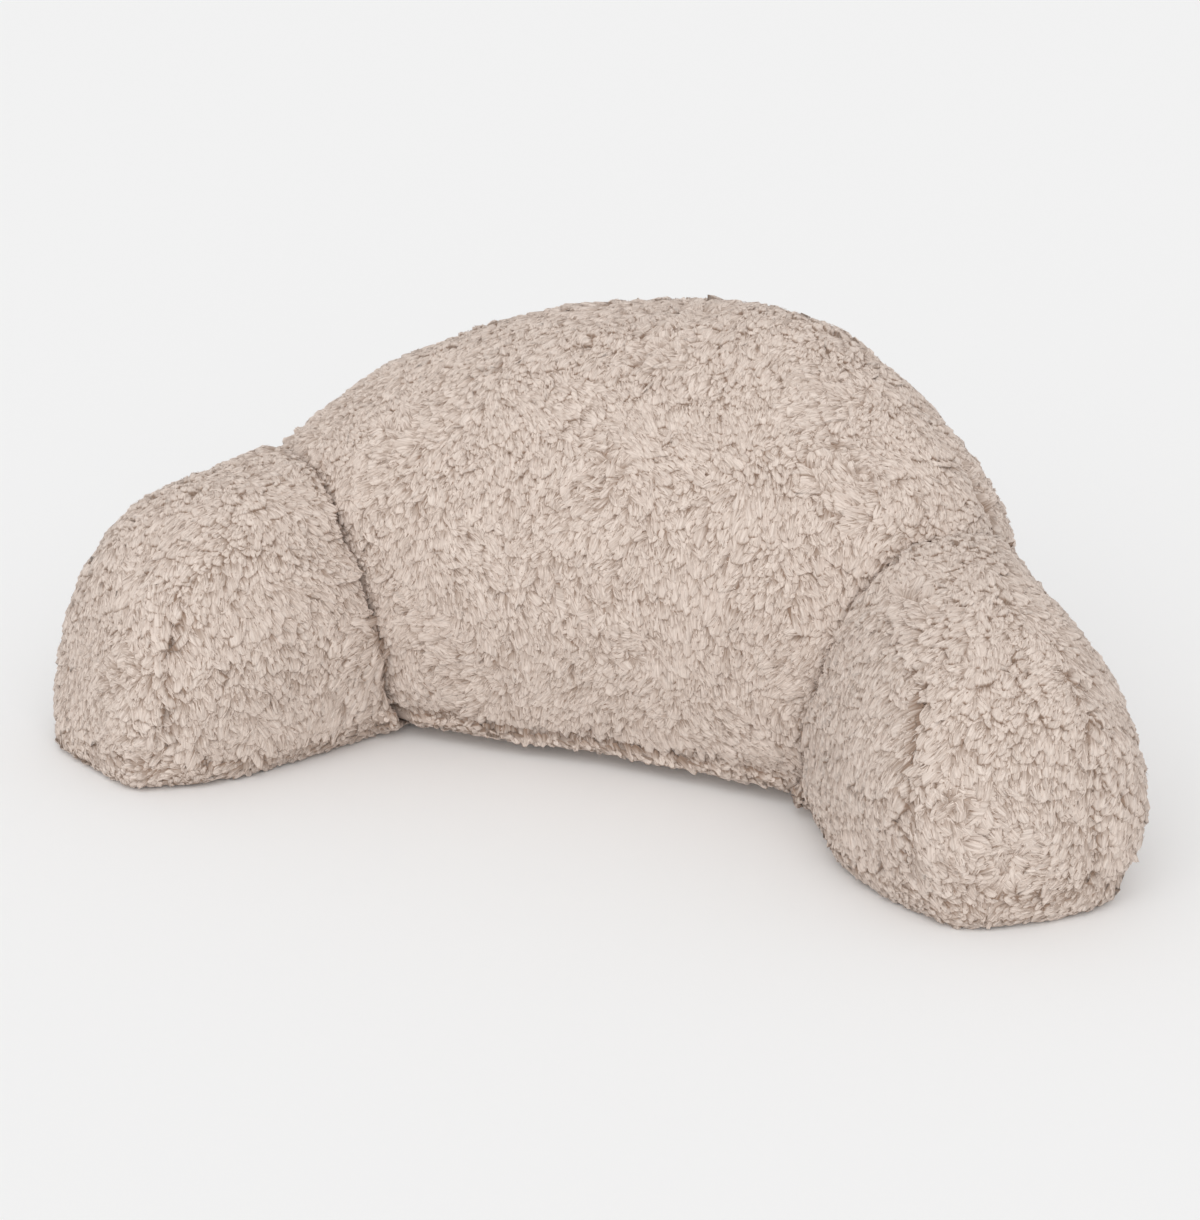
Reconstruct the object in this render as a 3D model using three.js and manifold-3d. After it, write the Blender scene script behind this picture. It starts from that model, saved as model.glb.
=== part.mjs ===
// Backrest cushion with two arms, in curly pile fleece, standing on its base.
// Millimetres, +Z up, +X towards the right arm as seen from the front, +Y to the rear.
// The outside of every solid is the outside of the pile.

import * as THREE from 'three';
import { mergeVertices } from 'three/addons/utils/BufferGeometryUtils.js';
import Module from 'manifold-3d';

const FLEECE_COLOUR = 0xcbbbae;
const FLEECE_ROUGHNESS = 0.95;

// Seam gap between the back and each arm.
const SEAM_GAP = 0.35;

// The rim seam of the back is drawn in by this much, over this share of the quarter turn beside it, and
// fades out near the crest, where the section is narrower than the half width given here.
const RIM_DRAW = 5;
const RIM_REACH = 0.07;
const RIM_FULL_HALF = 120;

// Fullness of the rear face, and half the width of the hollow in the front face.
const REAR_SQUARE = 2.2;
const HOLLOW_HALF = 170;

// Back: horizontal sections from the floor to the crest. half is the half width, shift is how far the
// filling leans to one side, front and rear are the faces at the middle, side is where the rim seam lies,
// hollow is how far the middle of the front stands back from its cheeks, skew is how far one cheek stands
// before the other, square is the front's fullness.
const BACK_SECTIONS = [
  { z: 0, half: 236, shift: 0, front: 22, side: 88, rear: 196, hollow: 13, skew: 18, square: 3.4 },
  { z: 7, half: 250, shift: 0, front: 2, side: 87, rear: 208, hollow: 12, skew: 17, square: 3.4 },
  { z: 16, half: 257, shift: 0, front: -12, side: 86, rear: 215, hollow: 10, skew: 16, square: 3.5 },
  { z: 25, half: 255, shift: -1, front: -14, side: 86, rear: 214, hollow: 9, skew: 16, square: 3.5 },
  { z: 35, half: 262, shift: -1, front: -21, side: 86, rear: 221, hollow: 8, skew: 14, square: 3.6 },
  { z: 80, half: 270, shift: -3, front: -26, side: 85, rear: 229, hollow: 5, skew: 8, square: 3.6 },
  { z: 128, half: 282, shift: -6, front: -29, side: 85, rear: 231, hollow: 2, skew: 3, square: 3.6 },
  { z: 170, half: 287, shift: -8, front: -26, side: 85, rear: 228, hollow: 0, skew: 0, square: 3.2 },
  { z: 204, half: 272, shift: -7, front: -13, side: 88, rear: 222, hollow: 0, skew: 0, square: 2.8 },
  { z: 238, half: 238, shift: 0, front: 16, side: 97, rear: 214, hollow: 0, skew: 0, square: 2.5 },
  { z: 270, half: 190, shift: 9, front: 55, side: 118, rear: 204, hollow: 0, skew: 0, square: 2.3 },
  { z: 294, half: 138, shift: 16, front: 92, side: 138, rear: 190, hollow: 0, skew: 0, square: 2.2 },
  { z: 308, half: 82, shift: 20, front: 120, side: 149, rear: 174, hollow: 0, skew: 0, square: 2.2 },
  { z: 312, half: 30, shift: 21, front: 140, side: 153, rear: 163, hollow: 0, skew: 0, square: 2 },
];
const BACK_STEPS = 3;
const BACK_QUARTER = 14;

// Arms: sections across the arm axis, from inside the back to the puffed end. along is the place on the
// axis, inner and outer are the sides across it, base and top are heights, tuck is how far the base panel
// curves in under the seam, squareIn and squareOut are the fullness of the arch on each side.
const ARM_ROOT = new THREE.Vector2(220, 33);
const ARM_SPLAY = THREE.MathUtils.degToRad(38);
const ARM_SECTIONS = [
  { along: -70, inner: -58, outer: 78, base: 0, top: 196, tuck: 24, squareIn: 2.4, squareOut: 2.4 },
  { along: 0, inner: -84, outer: 107, base: 0, top: 208, tuck: 24, squareIn: 2.4, squareOut: 2.4 },
  { along: 60, inner: -93, outer: 110, base: 0, top: 207, tuck: 24, squareIn: 2.5, squareOut: 2.3 },
  { along: 118, inner: -96, outer: 110, base: 0, top: 194, tuck: 24, squareIn: 2.7, squareOut: 2.2 },
  { along: 162, inner: -91, outer: 107, base: 0, top: 173, tuck: 24, squareIn: 3, squareOut: 2 },
  { along: 177, inner: -83, outer: 100, base: 0, top: 162, tuck: 24, squareIn: 3.2, squareOut: 2 },
  { along: 190, inner: -79, outer: 97, base: 0, top: 154, tuck: 24, squareIn: 3, squareOut: 2 },
  { along: 201, inner: -71, outer: 90, base: 1, top: 143, tuck: 26, squareIn: 2.6, squareOut: 2 },
  { along: 209, inner: -56, outer: 76, base: 6, top: 127, tuck: 26, squareIn: 2.3, squareOut: 2 },
  { along: 214, inner: -30, outer: 50, base: 24, top: 103, tuck: 18, squareIn: 2.1, squareOut: 2 },
  { along: 215, inner: -3, outer: 23, base: 48, top: 80, tuck: 6, squareIn: 2, squareOut: 2 },
];
const ARM_STEPS = 3;
const ARM_ARCH = 18;
const ARM_TUCK = 4;
const ARM_SEAM_HEIGHT = 25;
const ARM_SEAM_DRAW = 3;
// The arms are filled unevenly. lean sets an arm outwards with height, tilt sets the foot of its end
// forwards, both about the middle height, and reach makes the whole arm longer or shorter. Tilt and reach
// grow from nothing at the start to the full at the end.
const ARM_MIDDLE_HEIGHT = 80;
const ARM_END_START = 110;
const ARM_END_FULL = 200;
const ARM_RIGHT = { lean: 0.07, tilt: 0, reach: 0 };
const ARM_LEFT = { lean: 0.02, tilt: 0.15, reach: -9 };
// The sides stand out over the bottom seam by this much, and run into it below this share of the height.
const ARM_SIDE_CROWN = 8;
const ARM_CROWN_REACH = 0.4;
// At the tip, the crown and the seam's draw are at most these shares of the half width and of the tuck.
const ARM_TIP_CROWN = 0.25;
const ARM_TIP_DRAW = 0.25;

// Points of a skin closer than this are one point.
const WELD = 1e-4;

const wasm = await Module();
wasm.setup();

// One value of a table column, on a smooth curve through its rows.
function column(rows, key, place) {
  const last = rows.length - 1;
  const row = Math.min(Math.floor(place), last - 1);
  const t = place - row;
  const at = (k) => rows[THREE.MathUtils.clamp(k, 0, last)][key];
  const before = at(row - 1);
  const start = at(row);
  const end = at(row + 1);
  const after = at(row + 2);
  const leave = (end - before) / 2;
  const arrive = (after - start) / 2;
  const square = t * t;
  const cube = square * t;
  return (2 * cube - 3 * square + 1) * start + (cube - 2 * square + t) * leave
    + (3 * square - 2 * cube) * end + (cube - square) * arrive;
}

// A whole table drawn out into rows, with a given number of steps between two sections.
function drawOut(rows, steps) {
  const count = (rows.length - 1) * steps;
  const keys = Object.keys(rows[0]);
  return Array.from({ length: count + 1 }, (_, i) => {
    const place = i / steps;
    return Object.fromEntries(keys.map((key) => [key, column(rows, key, place)]));
  });
}

// A closed skin through rings of equal length, with a fan at each end.
function skin(rings) {
  const around = rings[0].length;
  const points = rings.flat();
  const faces = [];
  for (let r = 0; r < rings.length - 1; r += 1) {
    for (let k = 0; k < around; k += 1) {
      const a = r * around + k;
      const b = r * around + ((k + 1) % around);
      faces.push(a, b, b + around, a, b + around, a + around);
    }
  }
  const centre = (ring) => ring.reduce((sum, p) => sum.add(p), new THREE.Vector3()).divideScalar(around);
  const low = points.push(centre(rings[0])) - 1;
  const high = points.push(centre(rings.at(-1))) - 1;
  const top = (rings.length - 1) * around;
  for (let k = 0; k < around; k += 1) {
    const next = (k + 1) % around;
    faces.push(low, next, k, high, top + k, top + next);
  }
  const geometry = new THREE.BufferGeometry().setFromPoints(points);
  geometry.setIndex(faces);
  return geometry;
}

function power(value, exponent) {
  return Math.sign(value) * Math.abs(value) ** exponent;
}

// One horizontal section of the back: the front and the rear face meet at the rim seam on each side.
function backRing(row) {
  const count = BACK_QUARTER * 4;
  return Array.from({ length: count }, (_, k) => {
    const turn = (k / count) * 2 * Math.PI;
    const across = Math.cos(turn);
    const depth = Math.sin(turn);
    const isFront = depth < 0;
    const square = isFront ? row.square : REAR_SQUARE;
    const fromRim = Math.abs(Math.asin(depth)) / (Math.PI / 2);
    const draw = RIM_DRAW * Math.max(0, 1 - fromRim / RIM_REACH) * Math.min(1, row.half / RIM_FULL_HALF);
    const reach = isFront ? row.side - row.front : row.rear - row.side;
    const x = power(across, 2 / square) * (row.half - draw);
    const inHollow = Math.cos((Math.min(1, Math.abs(x) / HOLLOW_HALF) * Math.PI) / 2) ** 2;
    const hollow = isFront ? row.hollow * inHollow : 0;
    const lead = isFront ? -depth * row.skew * across : 0;
    const y = row.side + power(depth, 2 / square) * reach + hollow - lead;
    return new THREE.Vector3(x + row.shift, y, row.z);
  });
}

// The back's skin, moved outwards along its normals by a given distance.
function backSkin(outwards) {
  const geometry = skin(drawOut(BACK_SECTIONS, BACK_STEPS).map(backRing));
  geometry.computeVertexNormals();
  const { position, normal } = geometry.attributes;
  const point = new THREE.Vector3();
  const direction = new THREE.Vector3();
  for (let k = 0; k < position.count; k += 1) {
    direction.fromBufferAttribute(normal, k);
    point.fromBufferAttribute(position, k).addScaledVector(direction, outwards);
    position.setXYZ(k, point.x, point.y, point.z);
  }
  geometry.deleteAttribute('normal');
  return geometry;
}

// One section of an arm, looking along its axis from the end: base, tuck, seam and arch.
function armRing(row, fill) {
  const base = Math.max(0, row.base);
  const middle = (row.inner + row.outer) / 2;
  const half = (row.outer - row.inner) / 2;
  const crown = Math.min(ARM_SIDE_CROWN, half * ARM_TIP_CROWN);
  const draw = Math.min(ARM_SEAM_DRAW, row.tuck * ARM_TIP_DRAW);
  const seamHalf = half - crown;
  const seam = THREE.MathUtils.lerp(base, row.top, ARM_SEAM_HEIGHT / row.top);
  const tucked = Array.from({ length: ARM_TUCK + 1 }, (_, k) => {
    const turn = (k / (ARM_TUCK + 1)) * Math.PI / 2;
    return [seamHalf - row.tuck * (1 - Math.sin(turn)), THREE.MathUtils.lerp(seam, base, Math.cos(turn))];
  });
  const arch = Array.from({ length: ARM_ARCH - 1 }, (_, k) => {
    const turn = ((k + 1) / ARM_ARCH) * Math.PI;
    const across = Math.cos(turn);
    const square = across > 0 ? row.squareOut : row.squareIn;
    const rise = power(Math.sin(turn), 2 / square);
    const pull = crown * Math.max(0, 1 - rise / ARM_CROWN_REACH) ** 2;
    return [half * power(across, 2 / square) - Math.sign(across) * pull, seam + rise * (row.top - seam)];
  });
  const outline = [
    ...tucked,
    [seamHalf - draw, seam],
    ...arch,
    [draw - seamHalf, seam],
    ...tucked.toReversed().map(([across, z]) => [-across, z]),
  ];
  const axis = new THREE.Vector2(Math.sin(ARM_SPLAY), -Math.cos(ARM_SPLAY));
  const side = new THREE.Vector2(Math.cos(ARM_SPLAY), Math.sin(ARM_SPLAY));
  const share = THREE.MathUtils.smoothstep(row.along, ARM_END_START, ARM_END_FULL);
  return outline.map(([across, z]) => {
    const rise = z - ARM_MIDDLE_HEIGHT;
    const along = row.along + share * (fill.reach - fill.tilt * rise);
    const out = middle + across + fill.lean * rise;
    return new THREE.Vector3(
      ARM_ROOT.x + axis.x * along + side.x * out,
      ARM_ROOT.y + axis.y * along + side.y * out,
      z,
    );
  });
}

function armSkin(fill) {
  return skin(drawOut(ARM_SECTIONS, ARM_STEPS).map((row) => armRing(row, fill)));
}

function solidOf(geometry) {
  const merged = mergeVertices(geometry, WELD);
  return new wasm.Manifold(new wasm.Mesh({
    numProp: 3,
    vertProperties: new Float32Array(merged.attributes.position.array),
    triVerts: new Uint32Array(merged.index.array),
  }));
}

function geometryOf(solid) {
  const mesh = solid.getMesh();
  const geometry = new THREE.BufferGeometry();
  geometry.setAttribute('position', new THREE.BufferAttribute(new Float32Array(mesh.vertProperties), 3));
  geometry.setIndex(new THREE.BufferAttribute(new Uint32Array(mesh.triVerts), 1));
  return geometry;
}

function mirrored(geometry) {
  const copy = geometry.clone().scale(-1, 1, 1);
  const index = copy.index.array;
  for (let k = 0; k < index.length; k += 3) {
    const keep = index[k];
    index[k] = index[k + 1];
    index[k + 1] = keep;
  }
  return copy;
}

function fleece(name, geometry) {
  const material = new THREE.MeshStandardMaterial({
    color: FLEECE_COLOUR,
    roughness: FLEECE_ROUGHNESS,
    metalness: 0,
  });
  geometry.computeVertexNormals();
  const mesh = new THREE.Mesh(geometry, material);
  mesh.name = name;
  return mesh;
}

const seamSkin = solidOf(backSkin(SEAM_GAP));
const rightSkin = armSkin(ARM_RIGHT);
const leftSkin = mirrored(armSkin(ARM_LEFT));

const cushion = new THREE.Group();
cushion.add(fleece('back', backSkin(0)));
cushion.add(fleece('arm_right', geometryOf(solidOf(rightSkin).subtract(seamSkin))));
cushion.add(fleece('arm_left', geometryOf(solidOf(leftSkin).subtract(seamSkin))));

// The origin is on the floor, under the middle of the whole cushion.
const middle = new THREE.Box3().setFromObject(cushion).getCenter(new THREE.Vector3());
cushion.position.set(-middle.x, -middle.y, 0);

export default cushion;
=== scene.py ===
"""Backrest cushion with two arms in curly pile fleece: the looks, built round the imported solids.

Each cover is a filled skin that swells by cloth simulation inside its solid. The pile is made of locks,
short curled bunches of fibre that lie over each other along the nap, seated on the covers.
"""

import functools
import math

import bpy
import numpy as np
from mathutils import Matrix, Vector
from mathutils.bvhtree import BVHTree


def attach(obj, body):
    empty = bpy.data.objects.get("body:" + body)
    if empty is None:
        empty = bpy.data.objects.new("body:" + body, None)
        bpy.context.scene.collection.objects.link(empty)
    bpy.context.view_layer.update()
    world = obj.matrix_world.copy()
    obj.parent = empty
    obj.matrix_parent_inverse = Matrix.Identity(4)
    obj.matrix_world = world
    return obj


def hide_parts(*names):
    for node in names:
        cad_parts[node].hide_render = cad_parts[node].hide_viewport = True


bl_info = {
    "name": "Backrest Cushion",
    "version": (1, 0, 0),
    "blender": (4, 5, 0),
    "location": "View3D > Sidebar > Cushion",
    "description": "A filled backrest cushion with arms in curly pile fleece",
    "category": "Object",
}

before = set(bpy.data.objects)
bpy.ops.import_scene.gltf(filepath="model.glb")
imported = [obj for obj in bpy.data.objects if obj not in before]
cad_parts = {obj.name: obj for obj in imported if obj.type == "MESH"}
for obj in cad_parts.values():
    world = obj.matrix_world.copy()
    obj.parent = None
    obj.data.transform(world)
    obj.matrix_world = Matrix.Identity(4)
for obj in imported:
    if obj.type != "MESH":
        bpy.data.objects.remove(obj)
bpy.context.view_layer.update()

BODY = "root"
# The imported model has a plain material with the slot's name, so the pile's has another.
FLEECE = "curly_fleece"
BACK = "back"
ARMS = ("arm_left", "arm_right")

# The photograph's frame, and the sensor along its long side.
IMAGE_LONG_PX = 1220
SENSOR_MM = 36

# The height of the bottom seam on the back, and on an arm by the distance along it.
BACK_BOTTOM_Z = 0.027
ARM_BOTTOM_ALONG = np.array([0.09, 0.16])
ARM_BOTTOM_Z = np.array([0.015, 0.025])
# The strip under the bottom seam is set back over this height, and by this share as much on the arms.
STRIP_TURN = 0.006
ARM_STRIP_SHARE = 0.4
# The front of the back's strip stands out by these shares at these heights, and turns under at the floor.
# It does so fully where it faces forwards by this share.
SKIRT_Z = np.array([0.0, 0.006, 0.012, 0.018, 0.026])
SKIRT_OUT = np.array([0.0, 0.1, 1.0, 0.75, 0.0])
SKIRT_TURN = 0.3
# At a join all strips stand out, by up to this share of the room there.
FOOT_FILL = 0.5
# How wide the draw of a seam is, and how finely seam lines are laid on the solids.
SEAM_WIDTH = 0.006
LINE_STEP = 0.004
# The step that finds the way off a seam, and how strongly the nap is parted by it.
SEAM_STEP = 1e-4
PARTING = 1.0
# No locks grow on a seam, within about this distance, where it is drawn deeper than this share.
SEAM_BARE = 0.002
BARE_SHARE = 0.7

# The arm's axis on the right side: its root on the floor plan, and its splay.
ARM_ROOT = np.array([0.2195, 0.002])
ARM_SPLAY = math.radians(38)
# A strip of cloth runs over the arm and down its end. Its two seams go through these points: distance along
# the arm, way across it to the outside, height, and how deep the seam is drawn there.
INNER_SEAM = np.array([
    (0.060, -0.055, 0.185, 0.0),
    (0.095, -0.062, 0.165, 0.3),
    (0.129, -0.060, 0.163, 0.6),
    (0.150, -0.058, 0.157, 0.9),
    (0.163, -0.066, 0.138, 1.25),
    (0.172, -0.072, 0.115, 1.25),
    (0.178, -0.077, 0.084, 1.1),
    (0.179, -0.079, 0.057, 1.0),
    (0.179, -0.075, 0.024, 0.8),
])
OUTER_SEAM = np.array([
    (0.120, 0.038, 0.180, 0.0),
    (0.150, 0.039, 0.172, 0.4),
    (0.170, 0.040, 0.162, 0.8),
    (0.190, 0.040, 0.145, 1.0),
    (0.206, 0.038, 0.126, 1.1),
    (0.213, 0.040, 0.095, 1.1),
    (0.214, 0.042, 0.061, 1.0),
    (0.211, 0.042, 0.026, 0.7),
])
# The left arm's outer seam is drawn by only this share of the right one's depth.
LEFT_OUTER_SHARE = 0.35

# The rim seam of the back: height, and distance to the rear of the middle.
RIM_Z = np.array([0.0, 0.17, 0.238, 0.27, 0.294, 0.312])
RIM_Y = np.array([0.057, 0.054, 0.066, 0.087, 0.107, 0.122])
# The rim seam is shallow at the top edge, and the bottom seam is shallow round the arms.
RIM_FADE_Z = np.array([0.2, 0.285])
RIM_FADE = np.array([0.8, 0.1])
BACK_BOTTOM_DEPTH = 0.9
ARM_BOTTOM_DEPTH = 0.6

# The filling is uneven: near these places a cover stands further out, or in where the amount is negative.
# The piece, the place, how far round it that reaches, and the amount.
FULLNESS = (
    ("arm_left", (-0.36, -0.072, 0.152), 0.05, 0.012),
    ("arm_left", (-0.375, -0.14, 0.0), 0.04, 0.012),
    ("arm_left", (-0.278, 0.003, 0.202), 0.05, 0.004),
    ("arm_right", (0.17, -0.07, 0.013), 0.035, 0.006),
    ("arm_right", (0.206, -0.127, 0.015), 0.04, 0.009),
    ("arm_right", (0.273, -0.179, 0.004), 0.04, -0.005),
    ("arm_right", (0.35, -0.155, 0.0), 0.04, 0.006),
    ("arm_right", (0.326, 0.014, 0.15), 0.05, -0.018),
    ("arm_right", (0.392, -0.059, 0.094), 0.05, 0.002),
    ("back", (0.045, 0.141, 0.308), 0.07, 0.0045),
    ("back", (0.105, 0.136, 0.303), 0.045, 0.0035),
    ("back", (0.191, 0.12, 0.267), 0.04, -0.002),
    ("back", (-0.212, 0.093, 0.253), 0.06, 0.004),
)

# Points closer than this are welded, and a ray starts this far inside. A thin lip is taken in by no more
# than this share of its thickness, and no length is divided by less than the tiny one.
WELD = 1e-5
RAY_START = 1e-5
THIN_SHARE = 0.3
TINY = 1e-9
# The even faces of a cover are smoothed by this factor, this many times.
SMOOTH_FACTOR = 0.5
SMOOTH_TIMES = 3

# A cover is filled up to this frame, with this many steps in each, and held this many seam widths round its
# seams. A point of it sinks by no more than this share of the largest swell.
LAST_FRAME = 20
CLOTH_STEPS = 4
HELD_WIDTHS = 1.5
SINK_SHARE = 0.15

# Tips of locks stop this far over the floor, and a lock that would be cut to less than this share of its
# length is left out.
FLOOR_GAP = 0.002
SHORTEST = 0.45
# Under the reach locks are smaller, flatter and less steep, down to these shares.
FLOOR_REACH = 0.032
FLOOR_SIZE = 0.65
FLOOR_RISE = 0.7
FLOOR_FALL = 0.1
# A lock is taken to fall at least this steeply where the room over the floor is found.
LEAST_FALL = 1e-6
# No lock is taller than this many times the usual rise.
TALLEST = 1.35
# No locks grow where the cover faces the floor more than this, under this height.
UNDERSIDE = -0.85
BASE_HEIGHT = 0.008

# A place on a cover is hidden in the join where the next cover stands this near in front of it. No locks
# grow nearer to another cover than the clear distance, which is larger at the foot of the join. Within the
# crowded distance locks are smaller, down to this share.
JOIN_DEPTH = 0.005
JOIN_CLEAR = 0.002
FOOT_CLEAR = 0.003
FOOT_HEIGHT = 0.035
CROWDED = 0.012
CROWDED_SIZE = 0.55

# At a join the covers are taken in by this many times the depth of the pile, and by once past the reach.
# They aren't taken in at the foot, up to these shares of the reach and of the foot's height, from where
# that fades.
JOIN_INSET = 0.72
JOIN_REACH = 0.02
JOIN_NEAR = 1 / 2
FOOT_LOW = 1 / 3

# Random places that are tried for each square of the spacing.
TRIES = 6
# The smooth random fields that make patches of the pile differ: number, shortest and longest of the waves.
SWELL_WAVES = (14, 0.03, 0.09)
BRUSHED_WAVES = (10, 0.06, 0.14)
CLUMP_WAVES = (18, 0.011, 0.024)
TURN_WAVES = (14, 0.045, 0.16)
FINE_WAVES = (14, 0.014, 0.03)
# The nap lies downwards and a little forwards. Small patches of it wander by this share of the large ones,
# and single locks by this much.
NAP = np.array([0.0, -0.35, -1.0])
FINE_SHARE = 0.3
NAP_SPREAD = 0.13
# How much the fields change the size, length and rise of locks, and their limits.
SWELL_SIZE = 0.1
SWELL_LIMITS = (0.7, 1.3)
BRUSHED_SHARE = 0.1
CLUMP_LENGTH = 0.15
CLUMP_RISE = 0.3
CLUMP_LIMIT = 1.2
# Locks are smaller at a seam by this share, and differ by chance between these.
SEAM_SMALLER = 0.45
SIZES = (0.8, 1.2)
LENGTHS = (0.85, 1.2)
RISES = (0.75, 1.25)
WIDTHS = (0.8, 1.2)
# How far locks bend and roll, and how ragged their tips are.
BEND_SPREAD = 0.28
ROLL_SPREAD = 0.18
RAGGED = 0.09

# A lock is a wide arched scale: columns across it, and rows from its buried root to its tip, turned under.
COLUMNS = np.array([-1.0, -0.4, 0.4, 1.0])
ROW_ALONG = np.array([-0.4, 0.3, 0.8, 1.0, 0.94])
ROW_RISE = np.array([-0.3, 0.78, 1.0, 0.66, -0.3])
ROW_WIDTH = np.array([0.8, 1.05, 1.02, 0.82, 0.62])
# A lock is set back along the nap by this share of its length, but not over a seam.
SET_BACK = 0.3
# How far each row is out of the painted shade, deep in the pile and under the turned-under tip.
ROW_SHADE = np.array([0.0, 0.3, 0.8, 0.06, 0.0])
# The edges of a lock are shorter than its middle, darker by painted shade as if deep between the locks, and
# lower, by these shares.
TIP_ROUND = 0.3
EDGE_SHADE = 1.0
ARCH = 1.15
# Fibres scatter light all ways, so a lock is shaded with its cover's normal by this share.
SOFT_SHADE = 0.6
# The cloth under the pile is painted this far out of the shade, as painted shade under the locks, and
# darker in a seam by this share, as painted shade in its groove.
SKIN_PAINTED_LIGHT = 0.3
SEAM_PAINTED_SHADE = 0.7
SKIN_CHANCE = 0.5
# Hairs on each lock: where they start and end on its length, and how high over the cover, as shares.
HAIRS = 10
HAIR_START = (0.15, 0.6)
HAIR_REACH = (0.34, 0.52)
HAIR_LOW = 0.82
HAIR_HIGH = (0.72, 1.0)
HAIR_SPREAD = 0.85
HAIR_BEND = 0.3
HAIR_WIDTHS = (0.6, 1.4)
# A share of the hairs is pale, and the others are dark.
HAIR_PALE = 0.65
HAIR_SHADES = (0.1, 0.7)

# Streaks along the fibres: the scale of their noise across a lock, in millimetres, and along it, how far it
# moves from lock to lock, and how fine it is.
MM = 1000
STREAK_ACROSS = 0.75
STREAK_ALONG = 0.9
STREAK_MOVES = (61.0, 17.0)
STREAK_DETAIL = 3.0
STREAK_ROUGHNESS = 0.6
# A lock is out of the painted shade from this value on. How much that, the streaks and chance lighten it,
# and how much it is darkened then.
OUT_OF_SHADE = 0.36
SHADE_LIGHT = 0.82
STREAK_LIGHT = 1.75
CHANCE_LIGHT = 0.12
DARKER = 0.02
BUMP = 0.8
BUMP_DISTANCE = 0.0015
ROUGHNESS = 0.95
SPECULAR = 0.15
SHEEN_ROUGHNESS = 0.6

# The map that colours are baked on: the heights on it that hold locks and hairs, the edge left round each
# cell, and a hair's corners in its cell.
BAKE_MAP = "OFBake"
LOCKS_ON_MAP = (0.0, 0.75)
HAIRS_ON_MAP = (0.77, 0.99)
CELL_EDGE = 0.07
HAIR_PATCH = np.array([(0.0, 0.0), (1.0, 0.0), (0.5, 1.0)])

# The floor is this far from its middle to each edge, and matt.
FLOOR_HALF = 40.0
FLOOR_ROUGHNESS = 0.9
FLOOR_SPECULAR = 0.1


class CushionCovers(bpy.types.PropertyGroup):
    """How the covers are cut and filled."""

    pile_depth: bpy.props.FloatProperty(
        name="Pile depth",
        description="How far the cloth of the cover lies under the outside of the pile",
        default=0.005,
        unit="LENGTH",
    )
    voxel: bpy.props.FloatProperty(
        name="Mesh size",
        description="Size of the cover's faces before it is filled",
        default=0.0055,
        unit="LENGTH",
    )
    pressure: bpy.props.FloatProperty(
        name="Pressure",
        description="How hard the filling pushes the cover out",
        default=4.0,
    )
    swell: bpy.props.FloatProperty(
        name="Largest swell",
        description="The most that a point of the cover moves while it is filled",
        default=0.006,
        unit="LENGTH",
    )
    strip_inset: bpy.props.FloatProperty(
        name="Strip inset",
        description="How far the strip under the bottom seam is set back",
        default=0.0025,
        unit="LENGTH",
    )
    undercut: bpy.props.FloatProperty(
        name="Undercut",
        description="How much further the cover turns under at the floor",
        default=0.002,
        unit="LENGTH",
    )
    skirt: bpy.props.FloatProperty(
        name="Skirt",
        description="How far the front of the strip stands out under the bottom seam",
        default=0.011,
        unit="LENGTH",
    )
    seam_draw: bpy.props.FloatProperty(
        name="Seam draw",
        description="How far the seams are drawn in",
        default=0.005,
        unit="LENGTH",
    )


class CushionPile(bpy.types.PropertyGroup):
    """How the fleece is made."""

    spacing: bpy.props.FloatProperty(
        name="Lock spacing",
        description="Least distance between the roots of two locks",
        default=0.004,
        unit="LENGTH",
    )
    length: bpy.props.FloatProperty(
        name="Lock length",
        description="Length of a lock along the nap",
        default=0.0124,
        unit="LENGTH",
    )
    width: bpy.props.FloatProperty(
        name="Lock width",
        description="Width of a lock across the nap",
        default=0.0096,
        unit="LENGTH",
    )
    rise: bpy.props.FloatProperty(
        name="Lock rise",
        description="How high a lock stands over the cover",
        default=0.0045,
        unit="LENGTH",
    )
    hair_width: bpy.props.FloatProperty(
        name="Hair width",
        description="Width of the hairs that lie over the locks",
        default=0.0007,
        unit="LENGTH",
    )
    wander: bpy.props.FloatProperty(
        name="Nap wander",
        description="How far patches of the nap turn away from straight down",
        default=0.54,
    )
    seed: bpy.props.IntProperty(
        name="Seed",
        description="Start of the random draws",
        default=17,
    )
    tip_colour: bpy.props.FloatVectorProperty(
        name="Tip colour",
        description="Colour of the outer ends of the fibres",
        subtype="COLOR",
        size=3,
        default=(0.79, 0.683, 0.611),
    )
    # Painted shade: the colour the pile is painted where shade falls deep between the locks, along their
    # edges, under their tips and in the seams.
    painted_shade_colour: bpy.props.FloatVectorProperty(
        name="Painted shade colour",
        description="Colour deep between the locks",
        subtype="COLOR",
        size=3,
        default=(0.295, 0.2, 0.146),
    )
    sheen: bpy.props.FloatProperty(
        name="Sheen",
        description="Soft light of the fibre ends seen from the side",
        default=0.42,
        subtype="FACTOR",
    )


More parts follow.
